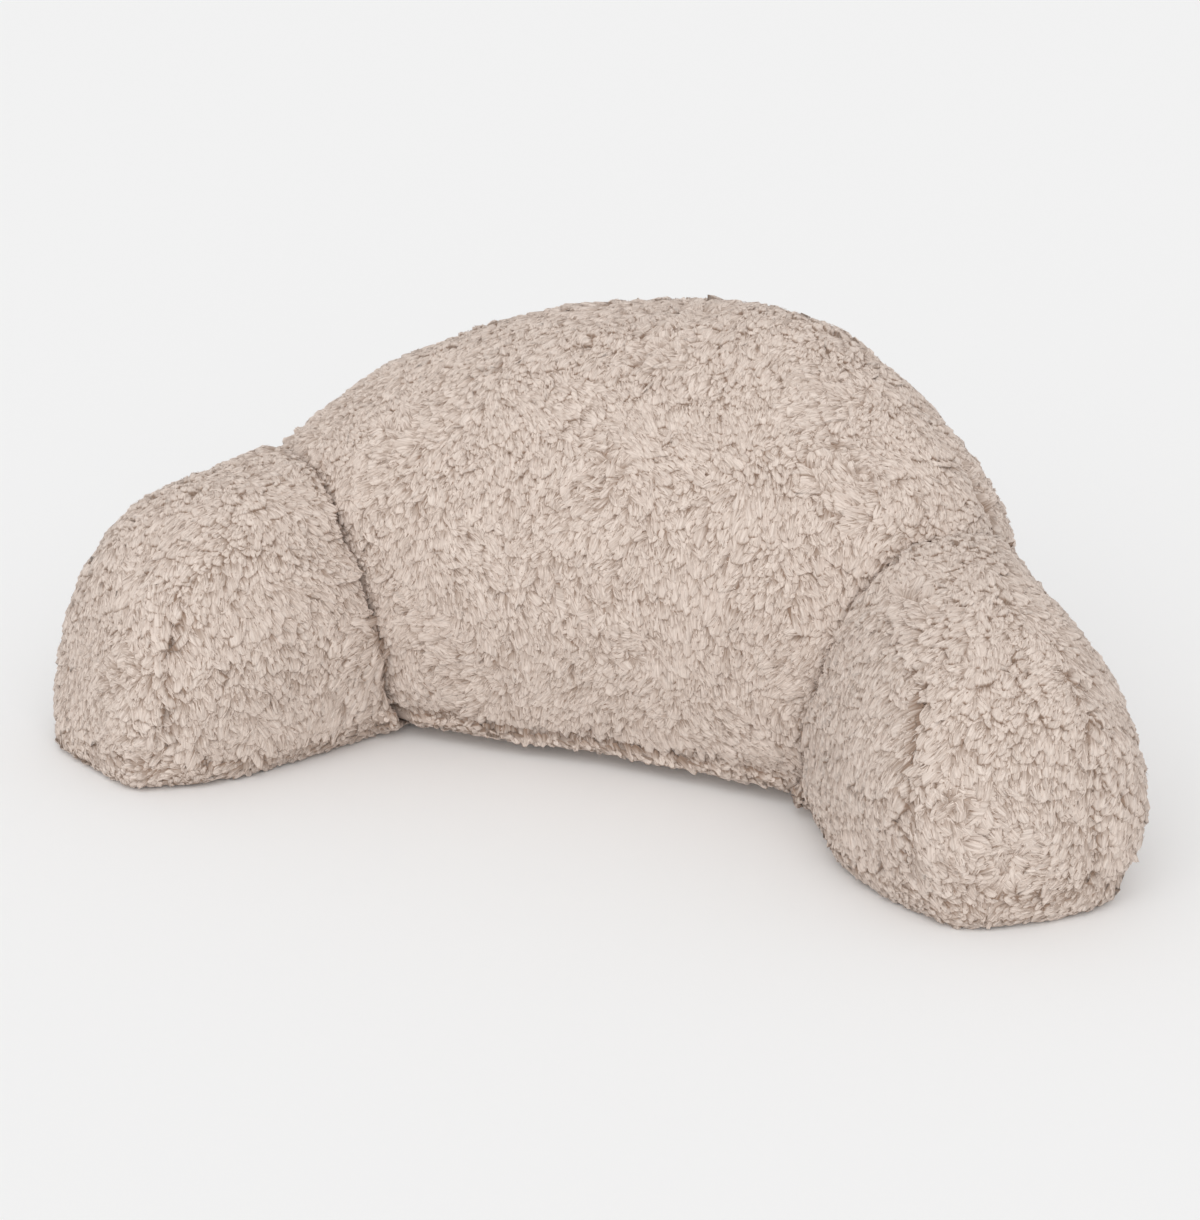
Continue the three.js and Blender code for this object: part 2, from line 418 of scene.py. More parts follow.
class CushionStage(bpy.types.PropertyGroup):
    """The floor, the light and the camera."""

    floor_colour: bpy.props.FloatVectorProperty(
        name="Floor colour",
        description="Colour of the pale floor",
        subtype="COLOR",
        size=3,
        default=(0.9, 0.9, 0.9),
    )
    fill_light: bpy.props.FloatProperty(
        name="Fill light",
        description="Strength of the light from all round",
        default=0.743,
    )
    key_light: bpy.props.FloatProperty(
        name="Key light",
        description="Strength of the soft light from above",
        default=1.25,
    )
    key_azimuth: bpy.props.FloatProperty(
        name="Key azimuth",
        description="How far the soft light stands to the right of the front",
        default=math.radians(13),
        subtype="ANGLE",
    )
    key_elevation: bpy.props.FloatProperty(
        name="Key elevation",
        description="How high the soft light stands",
        default=math.radians(38),
        subtype="ANGLE",
    )
    key_angle: bpy.props.FloatProperty(
        name="Key width",
        description="How wide the soft light is",
        default=math.radians(75),
        subtype="ANGLE",
    )
    azimuth: bpy.props.FloatProperty(
        name="Azimuth",
        description="How far the camera stands to the right",
        default=math.radians(20.6),
        subtype="ANGLE",
    )
    elevation: bpy.props.FloatProperty(
        name="Elevation",
        description="How far the camera looks down",
        default=math.radians(21.73),
        subtype="ANGLE",
    )
    distance: bpy.props.FloatProperty(
        name="Distance",
        description="From the camera to the point that it looks at",
        default=2.005,
        unit="LENGTH",
    )
    target: bpy.props.FloatVectorProperty(
        name="Target",
        description="The point that the camera looks at",
        subtype="XYZ",
        size=3,
        default=(-0.0005, -0.031, 0.1246),
    )
    focal_px: bpy.props.FloatProperty(
        name="Focal length in pixels",
        description="Focal length of the camera in pixels of the photograph",
        default=2800.0,
    )


class Shade:
    """A socket of a material's nodes. Arithmetic on it adds Math nodes."""

    def __init__(self, tree, socket=None):
        self.tree = tree
        self.socket = socket

    def node(self, kind, settings=None, inputs=None, output=0):
        """Adds a node: its settings first, then the values or links of its sockets."""
        made = self.tree.nodes.new(kind)
        for name, value in (settings or {}).items():
            setattr(made, name, value)
        for name, value in (inputs or {}).items():
            if isinstance(value, Shade):
                self.tree.links.new(value.socket, made.inputs[name])
            else:
                made.inputs[name].default_value = value
        return Shade(self.tree, made.outputs[output] if len(made.outputs) else None)

    def math(self, operation, first, second):
        return self.node("ShaderNodeMath", {"operation": operation}, {0: first, 1: second})

    def __add__(self, other):
        return self.math("ADD", self, other)

    def __radd__(self, other):
        return self.math("ADD", other, self)

    def __sub__(self, other):
        return self.math("SUBTRACT", self, other)

    def __rsub__(self, other):
        return self.math("SUBTRACT", other, self)

    def __mul__(self, other):
        return self.math("MULTIPLY", self, other)

    def __rmul__(self, other):
        return self.math("MULTIPLY", other, self)


def points_of(mesh):
    """The mesh's points and their normals as arrays."""
    points = np.zeros(len(mesh.vertices) * 3)
    mesh.vertices.foreach_get("co", points)
    normals = np.zeros(len(mesh.vertices) * 3)
    mesh.vertex_normals.foreach_get("vector", normals)
    return points.reshape(-1, 3), normals.reshape(-1, 3)


def set_points(mesh, points):
    mesh.vertices.foreach_set("co", points.ravel())
    mesh.update()


def triangles_of(mesh):
    mesh.calc_loop_triangles()
    corners = np.zeros(len(mesh.loop_triangles) * 3, np.int32)
    mesh.loop_triangles.foreach_get("vertices", corners)
    return corners.reshape(-1, 3)


def apply_all(obj):
    """The object's mesh as its modifiers leave it."""
    graph = bpy.context.evaluated_depsgraph_get()
    shaped = bpy.data.meshes.new_from_object(obj.evaluated_get(graph))
    obj.modifiers.clear()
    obj.data = shaped


def make_piece(name, mesh, material):
    obj = bpy.data.objects.new(name, mesh)
    bpy.context.scene.collection.objects.link(obj)
    mesh.materials.clear()
    mesh.materials.append(material)
    mesh.shade_smooth()
    return obj


def is_left(name):
    return name.endswith("left")


def in_arm(points, left):
    """The points along the arm's axis from its root, across it to the outside, and by height."""
    side = -1 if left else 1
    sine, cosine = math.sin(ARM_SPLAY), math.cos(ARM_SPLAY)
    plan = points[:, :2] * np.array([side, 1]) - ARM_ROOT
    return np.stack([plan @ (sine, -cosine), plan @ (cosine, sine), points[:, 2]], axis=1)


@functools.cache
def seam_lines(name):
    """The two seam lines of an arm's strip, laid on its solid in small steps, with their depths."""
    side = -1 if is_left(name) else 1
    sine, cosine = math.sin(ARM_SPLAY), math.cos(ARM_SPLAY)
    tree = tree_of(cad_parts[name].data)
    lines = []
    for line in (INNER_SEAM, OUTER_SEAM):
        walked = np.append(0, np.linalg.norm(np.diff(line[:, :3], axis=0), axis=1).cumsum())
        stops = np.arange(0, walked[-1], LINE_STEP)
        along, across, height, depth = (np.interp(stops, walked, line[:, k]) for k in range(4))
        x = side * (ARM_ROOT[0] + along * sine + across * cosine)
        y = ARM_ROOT[1] - along * cosine + across * sine
        laid = [tree.find_nearest(Vector(point))[0] for point in zip(x, y, height)]
        faint = is_left(name) and line is OUTER_SEAM
        lines.append((np.array(laid), depth * (LEFT_OUTER_SHARE if faint else 1)))
    return lines


def line_distance(points, line, depths, under):
    """Distance of the points from a seam line that lies over them by the pile's depth, and its depth."""
    best = np.full(len(points), np.inf)
    depth = np.zeros(len(points))
    for place, deep in zip(line, depths):
        far = ((points - place) ** 2).sum(axis=1)
        nearer = far < best
        best = np.where(nearer, far, best)
        depth = np.where(nearer, deep, depth)
    return np.sqrt(np.maximum(best - under**2, 0)), depth


def bottom_seam(name, points):
    """The height of the bottom seam at the points."""
    if name == BACK:
        return np.full(len(points), BACK_BOTTOM_Z)
    return np.interp(in_arm(points, is_left(name))[:, 0], ARM_BOTTOM_ALONG, ARM_BOTTOM_Z)


def seams_of(name, points):
    """The distance of the points from each seam of that piece, roughly, and how deep it is drawn there."""
    low = np.abs(points[:, 2] - bottom_seam(name, points))
    if name == BACK:
        rim = np.abs(points[:, 1] - np.interp(points[:, 2], RIM_Z, RIM_Y))
        rim_depth = np.interp(points[:, 2], RIM_FADE_Z, RIM_FADE)
        return (low, np.full(len(points), BACK_BOTTOM_DEPTH)), (rim, rim_depth)
    under = bpy.context.scene.cushion_covers.pile_depth
    strip = [line_distance(points, line, depths, under) for line, depths in seam_lines(name)]
    return (low, np.full(len(points), ARM_BOTTOM_DEPTH)), *strip


def seam_distance(name, points):
    """Distance of the points from the nearest seam of that piece over its bottom seam."""
    return np.min([distance for distance, _ in seams_of(name, points)[1:]], axis=0)


def seam_share(name, points, width=SEAM_WIDTH, first=0):
    """About 1 on a deep seam and less on a shallow one, 0 far off it. The first seam is the bottom one."""
    seams = seams_of(name, points)[first:]
    return np.max([depth * np.exp(-((far / width) ** 2)) for far, depth in seams], axis=0)


def waves(rng, count, shortest, longest):
    """Wave vectors and phases of a smooth random field."""
    turned = rng.normal(size=(count, 3))
    turned /= np.linalg.norm(turned, axis=1, keepdims=True)
    size = 2 * math.pi / rng.uniform(shortest, longest, size=(count, 1))
    return turned * size, rng.uniform(0, 2 * math.pi, size=count)


def field(points, made):
    """A smooth random number at each point, of about unit spread."""
    vectors, phases = made
    return np.sin(points @ vectors.T + phases).sum(axis=1) * math.sqrt(2 / len(phases))


def fleece_material(pile):
    """Pale fleece: painted shade between the locks, streaked along the fibres, a little different lock by
    lock.
    """
    material = bpy.data.materials.new(FLEECE)
    material.use_nodes = True
    tree = material.node_tree
    tree.nodes.clear()
    start = Shade(tree)
    lock = start.node("ShaderNodeAttribute", {"attribute_name": "lock"}, output=1)
    # Across a lock in millimetres, how far out of the painted shade, and chance: the second is named along
    # here.
    across, along, chance = (
        start.node("ShaderNodeSeparateXYZ", inputs={0: lock}, output=axis) for axis in range(3)
    )
    spot = start.node(
        "ShaderNodeCombineXYZ",
        inputs={
            0: across * STREAK_ACROSS + chance * STREAK_MOVES[0],
            1: along * STREAK_ALONG,
            2: chance * STREAK_MOVES[1],
        },
    )
    fibres = start.node(
        "ShaderNodeTexNoise",
        inputs={"Vector": spot, "Scale": 1.0, "Detail": STREAK_DETAIL, "Roughness": STREAK_ROUGHNESS},
    )
    # Painted shade: a point low on this value is mixed towards the painted shade colour.
    lit = start.node("ShaderNodeMapRange", inputs={0: along, 1: 0.0, 2: OUT_OF_SHADE, 3: 0.0, 4: 1.0})
    light = lit * SHADE_LIGHT + (fibres - 0.5) * STREAK_LIGHT + (chance - 0.5) * CHANCE_LIGHT - DARKER
    colour = start.node(
        "ShaderNodeMix",
        {"data_type": "RGBA", "clamp_factor": True},
        {0: light, 6: (*pile.painted_shade_colour, 1), 7: (*pile.tip_colour, 1)},
        output=2,
    )
    bump = start.node(
        "ShaderNodeBump", inputs={"Strength": BUMP, "Distance": BUMP_DISTANCE, "Height": fibres}
    )
    shader = start.node(
        "ShaderNodeBsdfPrincipled",
        inputs={
            "Base Color": colour,
            "Roughness": ROUGHNESS,
            "Specular IOR Level": SPECULAR,
            "Sheen Weight": pile.sheen,
            "Sheen Roughness": SHEEN_ROUGHNESS,
            "Sheen Tint": (*pile.tip_colour, 1),
            "Normal": bump,
        },
    )
    start.node("ShaderNodeOutputMaterial", inputs={"Surface": shader})
    return material


def the_fleece():
    return bpy.data.materials.get(FLEECE) or fleece_material(bpy.context.scene.cushion_pile)


def even_mesh(mesh, voxel):
    """The surface in even faces."""
    obj = bpy.data.objects.new("form", mesh)
    bpy.context.scene.collection.objects.link(obj)
    weld = obj.modifiers.new("weld", "WELD")
    weld.merge_threshold = WELD
    remesh = obj.modifiers.new("remesh", "REMESH")
    remesh.mode = "VOXEL"
    remesh.voxel_size = voxel
    smooth = obj.modifiers.new("smooth", "SMOOTH")
    smooth.factor = SMOOTH_FACTOR
    smooth.iterations = SMOOTH_TIMES
    apply_all(obj)
    made = obj.data
    bpy.data.objects.remove(obj)
    return made


def wall_ahead(mesh):
    """How far it is from each point straight through the filling to the other side."""
    points, normals = points_of(mesh)
    tree = tree_of(mesh)
    far = np.ones(len(points))
    for index, (point, normal) in enumerate(zip(points, normals)):
        inwards = Vector(-normal)
        hit = tree.ray_cast(Vector(point) + inwards * RAY_START, inwards)
        if hit[3] is not None:
            far[index] = hit[3]
    return far


def distance_to(tree, points, reach):
    """Distance of the points from a surface, up to the reach."""
    far = np.full(len(points), reach)
    for index, point in enumerate(points):
        hit = tree.find_nearest(Vector(point), reach)
        if hit[3] is not None:
            far[index] = hit[3]
    return far


def join_distance(name, points):
    """Distance of the points from the nearest other solid."""
    others = [tree_of(obj.data) for other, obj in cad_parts.items() if other != name]
    return np.minimum(*(distance_to(tree, points, JOIN_REACH) for tree in others))


def fullness(name, points):
    """How much further out the filling stands at the points, because it is uneven."""
    out = np.zeros(len(points))
    for piece, place, reach, most in FULLNESS:
        if piece == name:
            out += most * np.exp(-(((points - place) / reach) ** 2).sum(axis=1))
    return out


def fade(values, full, end):
    """1 up to the first limit, falling to 0 at the second."""
    return np.clip((end - values) / (end - full), 0, 1)


def cover_mesh(name, covers):
    """The solid's surface in even faces, taken in by the pile's depth, less where it is thin or joined."""
    mesh = even_mesh(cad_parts[name].data.copy(), covers.voxel)
    points, normals = points_of(mesh)
    height = points[:, 2]
    beside = join_distance(name, points)
    near = fade(beside, JOIN_NEAR * JOIN_REACH, JOIN_REACH)
    foot = near * fade(height, FOOT_LOW * FOOT_HEIGHT, FOOT_HEIGHT)
    share = JOIN_INSET + (1 - JOIN_INSET) * beside / JOIN_REACH
    most = wall_ahead(mesh) * THIN_SHARE
    depth = np.minimum(covers.pile_depth * share, most)
    seam = bottom_seam(name, points)
    under = fade(height, seam - STRIP_TURN, seam)
    low = fade(height, 0, seam)
    inset = covers.strip_inset * under + covers.undercut * low**2
    inset *= 1 if name == BACK else ARM_STRIP_SHARE
    depth += np.minimum(inset, most)
    level = normals[:, :2] / np.maximum(np.linalg.norm(normals[:, :2], axis=1), SKIRT_TURN)[:, None]
    forwards = np.clip(-normals[:, 1] / SKIRT_TURN, 0, 1) if name == BACK else 0
    push = covers.skirt * np.interp(height, SKIRT_Z, SKIRT_OUT) * np.maximum(forwards, near)
    push = np.where(near > 0, np.minimum(push, FOOT_FILL * beside), push)
    full = fullness(name, points)
    shift = normals * (full * (1 - low) - depth * (1 - foot))[:, None]
    shift[:, 2] *= 1 - low
    shift[:, :2] += level * (push + full * low)[:, None]
    points += shift
    points[:, 2] = np.maximum(points[:, 2], 0)
    set_points(mesh, points)
    return mesh


def fill_cover(obj, name, covers):
    """Swells the cover by cloth simulation, held at its seams. No point moves past the largest swell."""
    scene = bpy.context.scene
    rest, normals = points_of(obj.data)
    held = obj.vertex_groups.new(name="held")
    share = np.minimum(seam_share(name, rest, SEAM_WIDTH * HELD_WIDTHS), 1)
    share = np.maximum(share, (rest[:, 2] < covers.pile_depth + covers.voxel) * 1.0)
    for index, weight in enumerate(share):
        held.add([index], float(weight), "REPLACE")
    cloth = obj.modifiers.new("cloth", "CLOTH")
    cloth.settings.use_pressure = True
    cloth.settings.uniform_pressure_force = covers.pressure
    cloth.settings.effector_weights.gravity = 0
    cloth.settings.vertex_group_mass = "held"
    cloth.settings.quality = CLOTH_STEPS
    cloth.collision_settings.use_collision = False
    cloth.point_cache.frame_start = 1
    cloth.point_cache.frame_end = LAST_FRAME
    for step in range(1, LAST_FRAME + 1):
        scene.frame_set(step)
    apply_all(obj)
    scene.frame_set(1)
    moved, _ = points_of(obj.data)
    shift = moved - rest
    out = (shift * normals).sum(axis=1)
    kept = np.clip(out, -covers.swell * SINK_SHARE, covers.swell)
    aside = shift - normals * out[:, None]
    far = np.linalg.norm(aside, axis=1, keepdims=True)
    aside *= np.minimum(1, covers.swell / np.maximum(far, TINY))
    set_points(obj.data, rest + aside + normals * kept[:, None])


def draw_seams(mesh, name, covers):
    """Draws the seams in, and keeps the normals from before as an attribute, for the locks to stand by."""
    points, normals = points_of(mesh)
    kept = mesh.attributes.new("upright", "FLOAT_VECTOR", "POINT")
    kept.data.foreach_set("vector", normals.ravel())
    share = seam_share(name, points)
    set_points(mesh, points - normals * (share * covers.seam_draw)[:, None])


def sew_cover(name):
    """One cover in place of its solid: cut, filled, and with its seams drawn in."""
    covers = bpy.context.scene.cushion_covers
    obj = make_piece(name + "_cover", cover_mesh(name, covers), the_fleece())
    fill_cover(obj, name, covers)
    draw_seams(obj.data, name, covers)
    # The cloth gets painted shade: a little under the locks and more in the grooves of the seams.
    lock = obj.data.attributes.new("lock", "FLOAT_VECTOR", "POINT")
    seam = np.minimum(seam_share(name, points_of(obj.data)[0]), 1)
    along = SKIN_PAINTED_LIGHT * (1 - SEAM_PAINTED_SHADE * seam)
    shade = np.stack([np.zeros_like(along), along, np.full_like(along, SKIN_CHANCE)], axis=1)
    lock.data.foreach_set("vector", shade.ravel())
    obj.data.shade_smooth()
    if not obj.data.vertices:
        raise RuntimeError(f"the cover of {name} is empty")
    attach(obj, BODY)
    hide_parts(name)
    return obj


def tree_of(mesh):
    points, _ = points_of(mesh)
    return BVHTree.FromPolygons(points.tolist(), triangles_of(mesh).tolist())


def room_ahead(tree, points, normals):
    """How far each point can see along its normal before it meets another cover."""
    room = np.ones(len(points))
    for index, (point, normal) in enumerate(zip(points, normals)):
        hit = tree.ray_cast(Vector(point), Vector(normal), CROWDED)
        if hit[3] is not None:
            room[index] = hit[3]
    return room


def thin_out(points, spacing):
    """Picks points in turn that are no nearer to each other than the spacing."""
    cells = {}
    kept = []
    keys = np.floor(points / spacing).astype(int).tolist()
    places = points.tolist()
    least = spacing * spacing
    around = [(i, j, k) for i in (-1, 0, 1) for j in (-1, 0, 1) for k in (-1, 0, 1)]
    for index, (x, y, z) in enumerate(places):
        cx, cy, cz = keys[index]
        clear = True
        for i, j, k in around:
            for other in cells.get((cx + i, cy + j, cz + k), ()):
                a, b, c = places[other]
                if (a - x) ** 2 + (b - y) ** 2 + (c - z) ** 2 < least:
                    clear = False
                    break
            if not clear:
                break
        if clear:
            cells.setdefault((cx, cy, cz), []).append(index)
            kept.append(index)
    return np.array(kept)


def scatter(mesh, spacing, rng):
    """Many random places on the cover, with the normals that locks stand by."""
    points, _ = points_of(mesh)
    normals = np.zeros(points.size)
    mesh.attributes["upright"].data.foreach_get("vector", normals)
    normals = normals.reshape(-1, 3)
    corners = triangles_of(mesh)
    a, b, c = (points[corners[:, k]] for k in range(3))
    area = np.linalg.norm(np.cross(b - a, c - a), axis=1) / 2
    count = int(area.sum() / spacing**2 * TRIES)
    face = rng.choice(len(area), size=count, p=area / area.sum())
    u, v = rng.random((2, count))
    turned = u + v > 1
    u[turned], v[turned] = 1 - u[turned], 1 - v[turned]
    weight = np.stack([1 - u - v, u, v], axis=1)[:, :, None]
    place = (points[corners[face]] * weight).sum(axis=1)
    normal = (normals[corners[face]] * weight).sum(axis=1)
    return place, normal / np.linalg.norm(normal, axis=1, keepdims=True)


def unit(vectors):
    return vectors / np.maximum(np.linalg.norm(vectors, axis=1, keepdims=True), TINY)


def from_seam(name, points):
    """The direction that leads away from the nearest seam, found by small steps along each axis."""
    here = seam_distance(name, points)
    steps = np.eye(3) * SEAM_STEP
    return unit(np.stack([seam_distance(name, points + step) - here for step in steps], axis=1))


def draw_fields(rng):
    """The smooth random fields that make patches of the pile differ, by name."""
    fields = {
        "swell": waves(rng, *SWELL_WAVES),
        "brushed": waves(rng, *BRUSHED_WAVES),
        "clump": waves(rng, *CLUMP_WAVES),
    }
    for axis in range(3):
        fields["turn", axis] = waves(rng, *TURN_WAVES)
        fields["fine", axis] = waves(rng, *FINE_WAVES)
    return fields


def patches(points, fields, kind):
    """A smooth random vector at each point, of about unit spread along each axis."""
    return np.stack([field(points, fields[kind, axis]) for axis in range(3)], axis=1)


def nap_direction(name, points, normals, fields, rng, pile):
    """Which way the locks lie: downwards, wandering in patches and lock by lock, and parted at a seam."""
    turn = patches(points, fields, "turn")
    fine = patches(points, fields, "fine")
    way = NAP + pile.wander * turn + pile.wander * FINE_SHARE * fine
    way += rng.normal(scale=NAP_SPREAD, size=points.shape)
    way[:, 2] *= np.clip(points[:, 2] / FLOOR_REACH, FLOOR_FALL, 1)
    parted = PARTING * np.minimum(seam_share(name, points, first=1), 1)
    way += from_seam(name, points) * parted[:, None]
    return unit(way - normals * (way * normals).sum(axis=1)[:, None])


def lock_places(name, cover, others, rng, pile):
    """Where the locks of one cover have their roots, with normals and the room in front of them."""
    place, normal = scatter(cover.data, pile.spacing, rng)
    seen = (normal[:, 2] > UNDERSIDE) | (place[:, 2] > BASE_HEIGHT)
    place, normal = place[seen], normal[seen]
    kept = thin_out(place, pile.spacing)
    place, normal = place[kept], normal[kept]
    room = np.full(len(place), 1.0)
    beside = np.full(len(place), CROWDED)
    for tree in others:
        room = np.minimum(room, room_ahead(tree, place, normal))
        beside = np.minimum(beside, distance_to(tree, place, CROWDED))
    clear = np.where(place[:, 2] < FOOT_HEIGHT, FOOT_CLEAR, JOIN_CLEAR)
    off_seam = seam_share(name, place, SEAM_BARE, first=1) < BARE_SHARE
    free = (room > JOIN_DEPTH) & (beside > clear) & off_seam
    room = np.minimum(room, beside)
    return place[free], normal[free], room[free]


def lay_locks(name, cover, others, rng, pile):
    """The locks of one cover, as arrays with one row for each lock."""
    fields = draw_fields(rng)
    place, normal, room = lock_places(name, cover, others, rng, pile)
    along = nap_direction(name, place, normal, fields, rng, pile)
    count = len(place)
    seam = np.minimum(seam_share(name, place, first=1), 1)
    height = place[:, 2] / FLOOR_REACH
    swell = 1 + SWELL_SIZE * field(place, fields["swell"])
    brushed = BRUSHED_SHARE * np.clip(field(place, fields["brushed"]), -1, 1)
    clump = np.clip(field(place, fields["clump"]), -CLUMP_LIMIT, CLUMP_LIMIT)
    size = np.clip(swell, *SWELL_LIMITS) * rng.uniform(*SIZES, count)
    size *= 1 - SEAM_SMALLER * seam
    size *= np.clip(height, FLOOR_SIZE, 1) * np.clip(room / CROWDED, CROWDED_SIZE, 1)
    wanted = pile.length * size * rng.uniform(*LENGTHS, count)
    wanted *= (1 + brushed) * (1 + CLUMP_LENGTH * clump)
    back = SET_BACK * (1 - seam)
    down = np.maximum(-along[:, 2], LEAST_FALL) * (1 - back)
    length = np.minimum(wanted, (place[:, 2] - FLOOR_GAP) / down)
    rise = pile.rise * size * rng.uniform(*RISES, count)
    rise *= (1 - brushed) * (1 + CLUMP_RISE * clump) * np.clip(height, FLOOR_RISE, 1)
    rise = np.minimum(rise, pile.rise * TALLEST)
    locks = {
        "place": place - along * (back * length)[:, None],
        "normal": normal,
        "along": along,
        "across": np.cross(normal, along),
        "length": length,
        "half": pile.width / 2 * size * rng.uniform(*WIDTHS, count),
        "rise": rise,
        "bend": rng.normal(scale=BEND_SPREAD, size=count),
        "roll": rng.normal(scale=ROLL_SPREAD, size=count),
        "chance": rng.random(count),
    }
    return take(locks, length > wanted * SHORTEST)


def take(locks, chosen):
    return {name: values[chosen] for name, values in locks.items()}


def on_lock(locks, s, h, w, u, shade):
    """The point of each lock at a share of its length, rise and way across, and its painted shade values.
    """
    reach = s * (1 - TIP_ROUND * u * u * np.maximum(s, 0))
    aside = locks["half"] * w * u + locks["bend"] * locks["length"] * s * abs(s)
    height = locks["rise"] * (h - ARCH * u * u * (s > 0) + locks["roll"] * u)
    steps = (
        (locks["along"], locks["length"] * reach),
        (locks["across"], aside),
        (locks["normal"], height),
    )
    point = locks["place"] + sum(way * far[:, None] for way, far in steps)
    point[:, 2] = np.maximum(point[:, 2], 0.0)
    # Painted shade: the edges of a lock are painted darker than its middle.
    outer = np.broadcast_to(shade * (1 - EDGE_SHADE * u * u), aside.shape)
    return point, np.stack([aside * MM, outer, locks["chance"]], axis=1)


def lock_points(locks, rng):
    """The points and painted shade values of the locks, lock by lock. Their tips are ragged."""
    count = len(locks["place"])
    ragged = rng.normal(scale=RAGGED, size=(count, len(COLUMNS)))
    made = []
    for s, h, w, shade in zip(ROW_ALONG, ROW_RISE, ROW_WIDTH, ROW_SHADE):
        for column, u in enumerate(COLUMNS):
            made.append(on_lock(locks, s + ragged[:, column] * max(s, 0) ** 2, h, w, u, shade))
    return (np.stack(part, axis=1) for part in zip(*made))


def hair_points(locks, rng, pile):
    """The points and painted shade of the hairs, hair by hair: thin triangles that lie over the locks."""
    many = take(locks, np.repeat(np.arange(len(locks["place"])), HAIRS))
    count = len(many["place"])
    u = rng.uniform(-HAIR_SPREAD, HAIR_SPREAD, count)
    start = rng.uniform(*HAIR_START, count)
    tip = start + rng.uniform(*HAIR_REACH, count)
    shade = np.where(rng.random(count) < HAIR_PALE, HAIR_SHADES[1], HAIR_SHADES[0])
    bent = u + rng.normal(scale=HAIR_BEND, size=count)
    low, low_value = on_lock(many, start, HAIR_LOW, 1.0, u, shade)
    high, high_value = on_lock(many, tip, rng.uniform(*HAIR_HIGH, count), 1.0, bent, shade)
    width = many["across"] * (pile.hair_width / 2 * rng.uniform(*HAIR_WIDTHS, count))[:, None]
    chance = rng.random(count)
    low_value[:, 2] = chance
    high_value[:, 2] = chance
    points = np.stack([low + width, low - width, high], axis=1)
    points[:, :, 2] = np.maximum(points[:, :, 2], 0.0)
    return points, np.stack([low_value, low_value, high_value], axis=1)


def lock_faces():
    """The triangles of one lock."""
    wide = len(COLUMNS)
    faces = []
    for row in range(len(ROW_ALONG) - 1):
        for column in range(wide - 1):
            a = row * wide + column
            faces += [(a, a + wide, a + wide + 1), (a, a + wide + 1, a + 1)]
    return np.array(faces)


def numbered(faces, count, each, first=0):
    """The faces of one lock or hair, repeated for all of them."""
    return (faces[None] + (np.arange(count) * each + first)[:, None, None]).reshape(-1, 3)


def map_places(count, patch, low, high):
    """Places on the bake's map, between two heights: each copy of a patch has a cell of its own there."""
    wide = math.ceil(math.sqrt(count / (high - low)))
    cell = np.arange(count)
    corner = np.stack([cell % wide, cell // wide], axis=1) / wide + (0, low)
    inside = (CELL_EDGE + patch * (1 - 2 * CELL_EDGE)) / wide
    return (corner[:, None] + inside).reshape(-1, 2)


def pile_piece(name, locks, rng, pile):
    """One piece of pile from its locks, with their hairs."""
    points, values = lock_points(locks, rng)
    hairs, hair_values = hair_points(locks, rng, pile)
    count, each, _ = points.shape
    first = count * each
    faces = np.concatenate([
        numbered(lock_faces(), count, each),
        numbered(np.array([[0, 1, 2]]), len(hairs), 3, first),
    ])
    points = np.concatenate([points.reshape(-1, 3), hairs.reshape(-1, 3)])
    values = np.concatenate([values.reshape(-1, 3), hair_values.reshape(-1, 3)])
    mesh = bpy.data.meshes.new(name)
    mesh.vertices.add(len(points))
    mesh.vertices.foreach_set("co", points.ravel())
    mesh.loops.add(faces.size)
    mesh.loops.foreach_set("vertex_index", faces.ravel().astype(np.int32))
    mesh.polygons.add(len(faces))
    mesh.polygons.foreach_set("loop_start", np.arange(0, faces.size, 3, dtype=np.int32))
    mesh.update(calc_edges=True)
    # Each point carries its place across its lock, its painted shade and a chance.
    lock = mesh.attributes.new("lock", "FLOAT_VECTOR", "POINT")
    lock.data.foreach_set("vector", values.ravel())
    across, along = np.meshgrid(np.linspace(0, 1, len(COLUMNS)), np.linspace(0, 1, len(ROW_ALONG)))
    lock_patch = np.stack([across.ravel(), along.ravel()], axis=1)
    places = np.concatenate([
        map_places(count, lock_patch, *LOCKS_ON_MAP),
        map_places(len(hairs), HAIR_PATCH, *HAIRS_ON_MAP),
    ])
    mesh.uv_layers.new(name=BAKE_MAP).uv.foreach_set("vector", places[faces.ravel()].ravel())
    obj = make_piece(name, mesh, the_fleece())
    outwards = points_of(mesh)[1]
    flat = np.repeat(locks["normal"], each, axis=0)
    outwards[:first] = unit(outwards[:first] * (1 - SOFT_SHADE) + flat * SOFT_SHADE)
    outwards[first:] = np.repeat(locks["normal"], HAIRS * 3, axis=0)
    mesh.normals_split_custom_set_from_vertices(outwards.tolist())
    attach(obj, BODY)
    return obj


class CUSHION_OT_back(bpy.types.Operator):
    """Sews and fills the back"""

    bl_idname = "cushion.back"
    bl_label = "Sew Back"

    def execute(self, context):
        sew_cover(BACK)
        return {"FINISHED"}


class CUSHION_OT_arms(bpy.types.Operator):
    """Sews and fills both arms"""

    bl_idname = "cushion.arms"
    bl_label = "Sew Arms"

    def execute(self, context):
        for name in ARMS:
            sew_cover(name)
        return {"FINISHED"}


